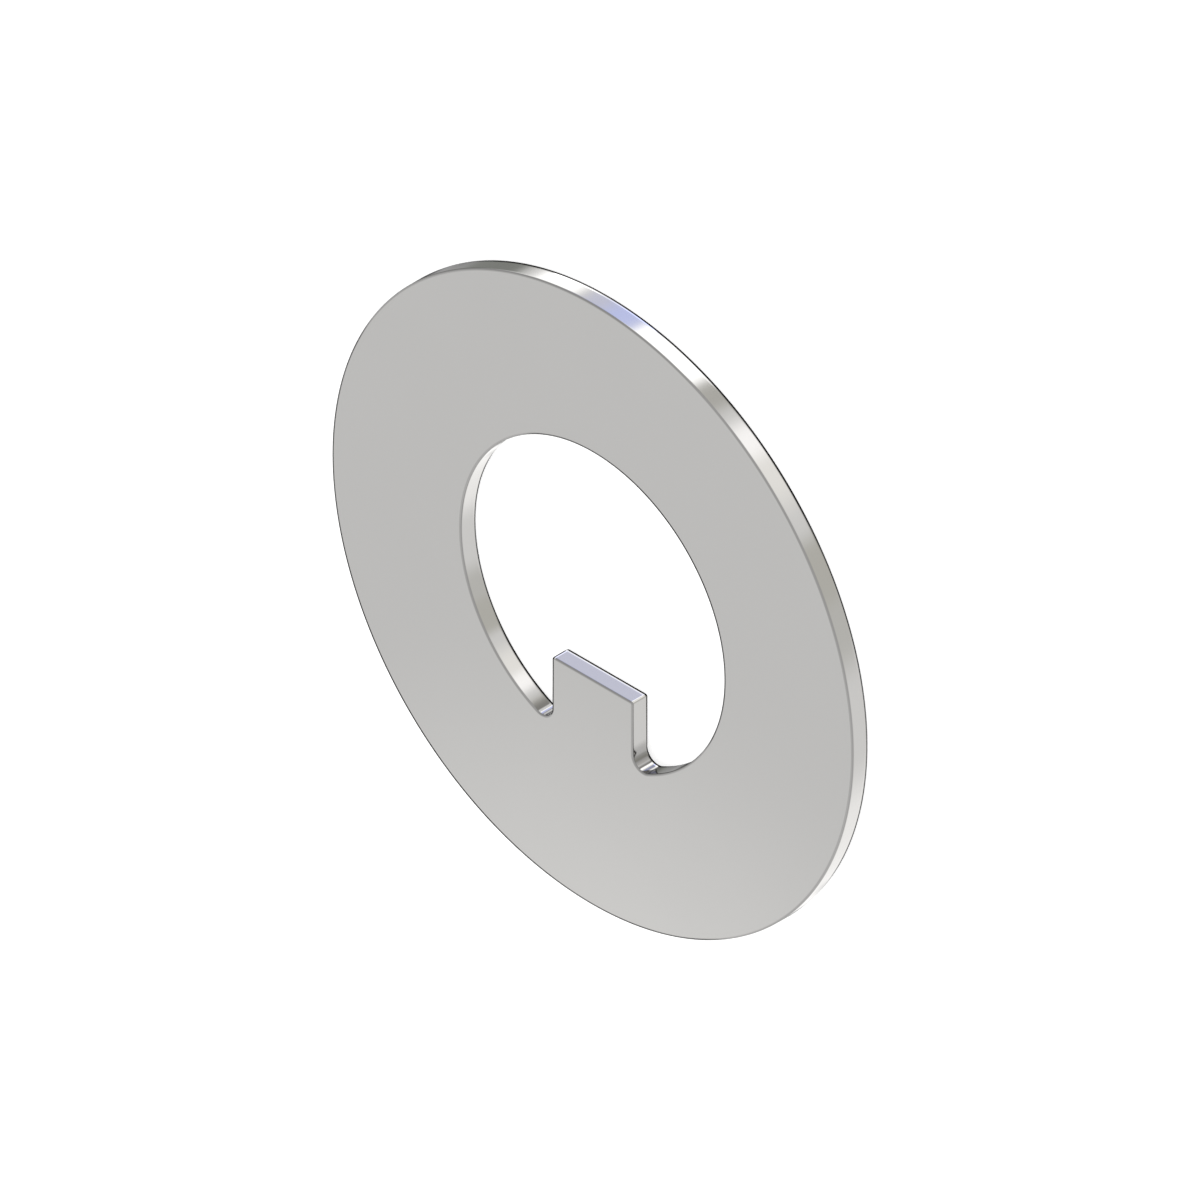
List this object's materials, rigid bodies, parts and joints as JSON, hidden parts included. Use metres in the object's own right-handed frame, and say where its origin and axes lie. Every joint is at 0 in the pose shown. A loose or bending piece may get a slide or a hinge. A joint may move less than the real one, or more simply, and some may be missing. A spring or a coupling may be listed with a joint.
{
  "type": "lock plate",
  "caption": "Flat round steel lock plate with a plain bore and a square-ended tab that points inwards and keys into a shaft's groove.",
  "frame": {"origin": "on the bore's axis, at the lower face", "axes": "+Z along the bore's axis and out of the upper face, +Y from the tab towards the bore's centre, +X to the right of the tab seen from above"},
  "size_m": [0.04, 0.04, 0.0012],
  "materials": {
    "steel": "bright cold-rolled sheet, smooth faces and burnished edges"
  },
  "bodies": {
    "root": {"lock_plate": "steel"}
  },
  "joints": []
}
